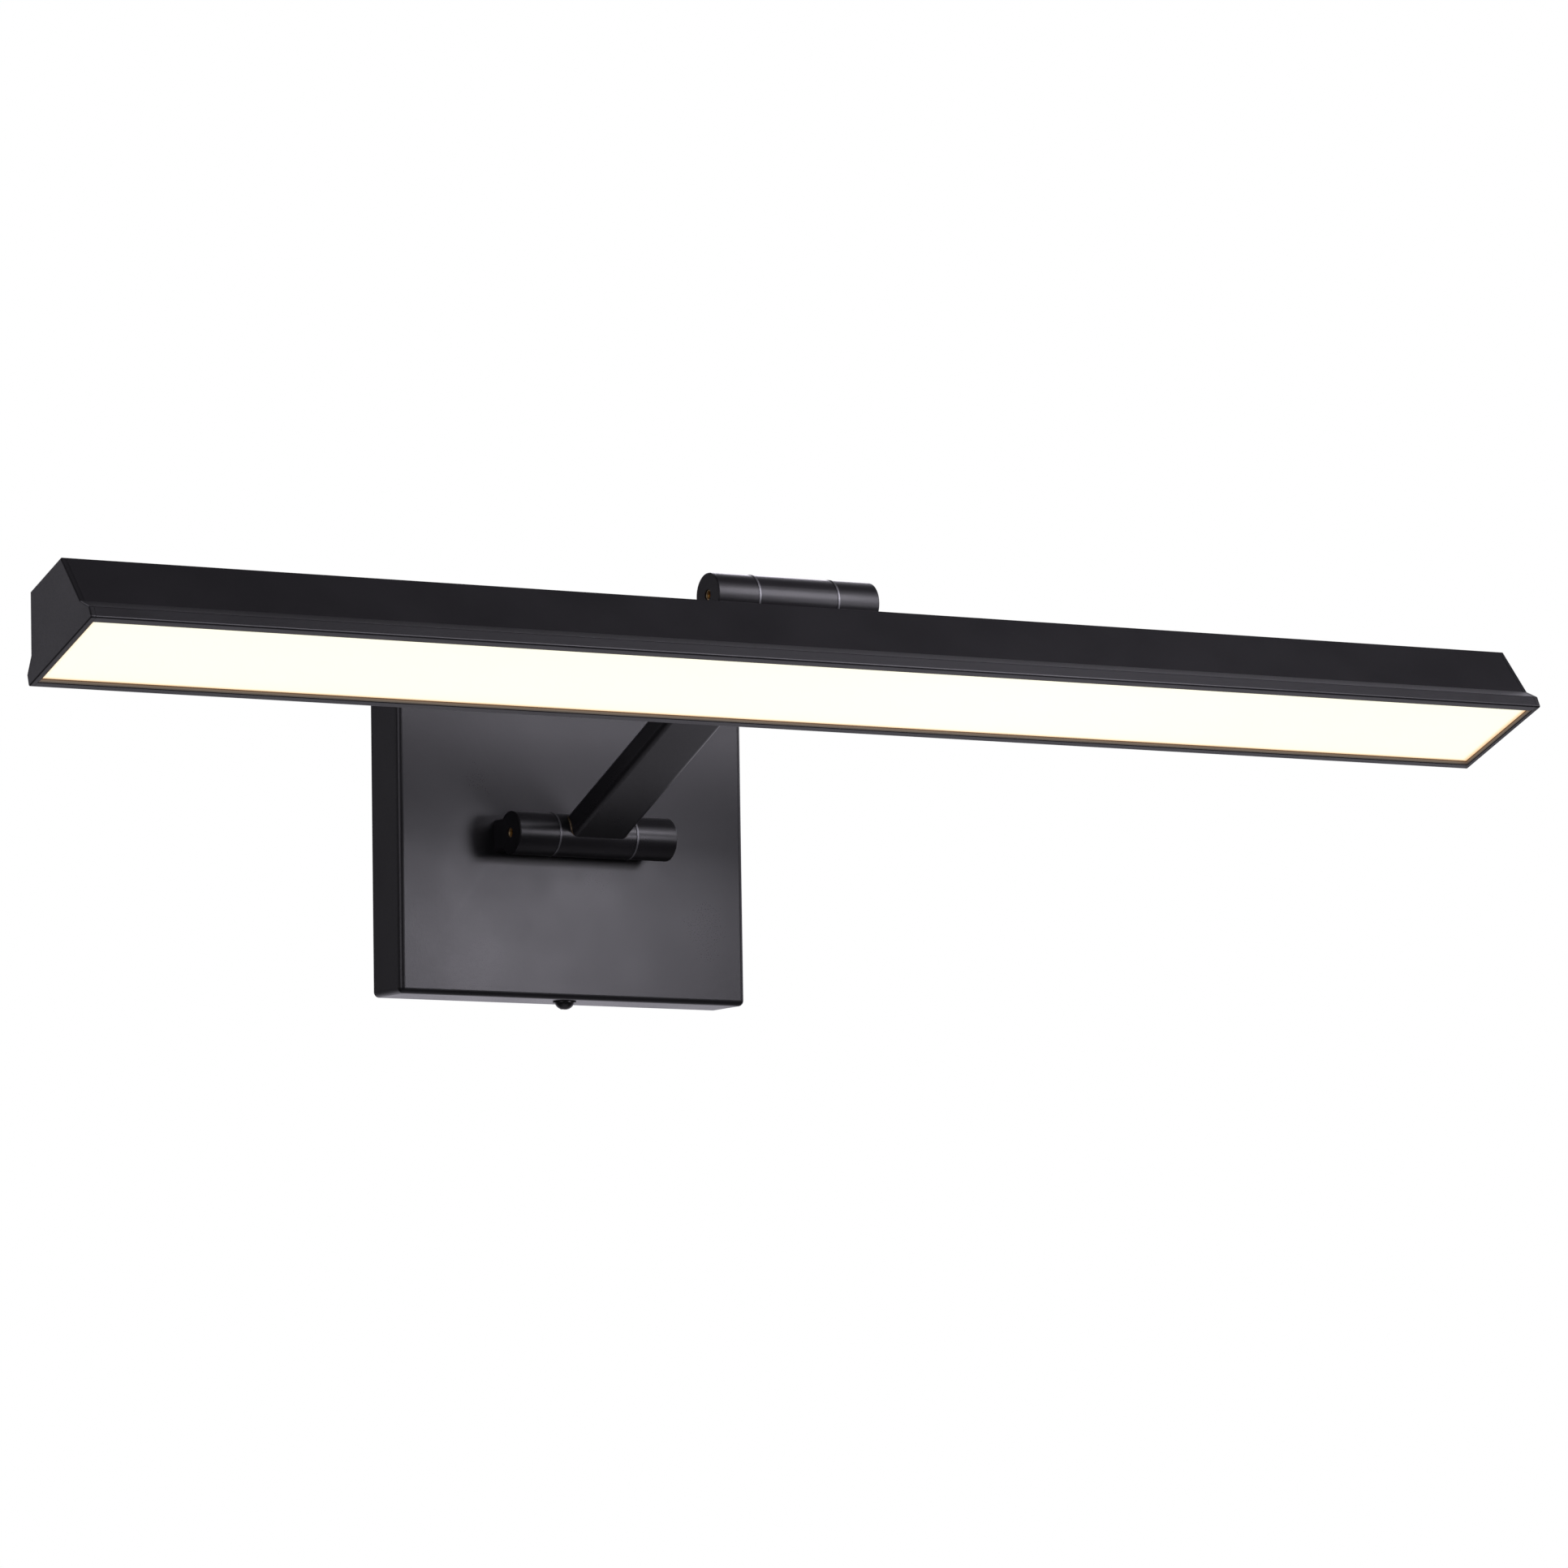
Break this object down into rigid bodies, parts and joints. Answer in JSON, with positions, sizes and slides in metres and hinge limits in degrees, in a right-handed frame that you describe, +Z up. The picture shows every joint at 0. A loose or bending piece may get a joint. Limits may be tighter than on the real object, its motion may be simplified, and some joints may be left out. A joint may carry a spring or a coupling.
{
  "type": "picture light",
  "caption": "Slim wall-mounted picture light: a long flared head with an opal underside on a two-hinge swing arm from a square canopy.",
  "frame": {"origin": "centre of the canopy's open back, on the wall plane and midway between the two box-screw slots", "axes": "+X along the lamp head, to the right as seen from the room; +Y into the wall; +Z up"},
  "size_m": [0.508, 0.1858, 0.13],
  "materials": {
    "black_coat": "satin black powder coat over steel",
    "black_coat_aluminium": "satin black powder coat over an aluminium extrusion",
    "dark_screw": "black oxide, slightly shiny",
    "zinc_steel": "zinc plated",
    "washer_steel": "dull, lightly brushed",
    "green_screw": "green dyed plating",
    "tinned_metal": "tinned",
    "brass": "turned",
    "driver_case": "fine matte moulding",
    "terminal_plastic": "matte moulding",
    "foam": "closed-cell foam",
    "soft_rubber": "matte",
    "lead_black": "smooth insulation",
    "lead_white": "smooth insulation",
    "lead_green": "smooth insulation",
    "opal_lens": "opal acrylic, lit from behind",
    "white_tray": "gloss white",
    "spacer_aluminium": "turned",
    "board_white": "white solder mask",
    "led_yellow": "phosphor-filled resin"
  },
  "bodies": {
    "wall_plate": {"canopy_cover": "black_coat", "mounting_strap": "zinc_steel", "canopy_screws": "dark_screw", "canopy_screw_washers": "dark_screw", "ground_screw": "green_screw", "ring_terminal": "tinned_metal", "led_driver": "driver_case", "driver_foam_pad": "foam", "terminal_block": "terminal_plastic", "terminal_screws": "zinc_steel", "live_lead": "lead_black", "neutral_lead": "lead_white", "ground_lead": "lead_green", "driver_output_leads": "lead_black", "wire_grommet": "soft_rubber", "base_knuckle_left": "black_coat", "base_knuckle_right": "black_coat", "base_knuckle_screws": "zinc_steel", "lower_hinge_pin": "brass", "lower_hinge_leads": "lead_black", "lower_friction_washers": "washer_steel"},
    "arm": {"arm_tube": "black_coat", "arm_lower_barrel": "black_coat", "arm_upper_barrel": "black_coat", "lower_hinge_bushes": "brass", "upper_hinge_bushes": "brass", "arm_leads": "lead_black"},
    "head": {"head_housing": "black_coat_aluminium", "head_end_cap_left": "black_coat_aluminium", "head_end_cap_right": "black_coat_aluminium", "diffuser_panel": "opal_lens", "gear_tray": "white_tray", "tray_spacers": "spacer_aluminium", "tray_screws": "zinc_steel", "led_board": "board_white", "led_chips": "led_yellow", "board_connector": "terminal_plastic", "head_leads": "lead_black", "head_knuckle_left": "black_coat", "head_knuckle_right": "black_coat", "head_knuckle_screws": "zinc_steel", "upper_hinge_pin": "brass", "upper_hinge_leads": "lead_black", "upper_friction_washers": "washer_steel"}
  },
  "joints": [
    {"name": "arm_swing", "type": "hinge", "parent": "wall_plate", "child": "arm", "pos_m": [0, -0.0273, -0.0119], "axis": [1, 0, 0], "range_deg": [-60, 95]},
    {"name": "head_tilt", "type": "hinge", "parent": "arm", "child": "head", "pos_m": [0, -0.14982, 0.04759], "axis": [1, 0, 0], "range_deg": [-90, 28]}
  ]
}
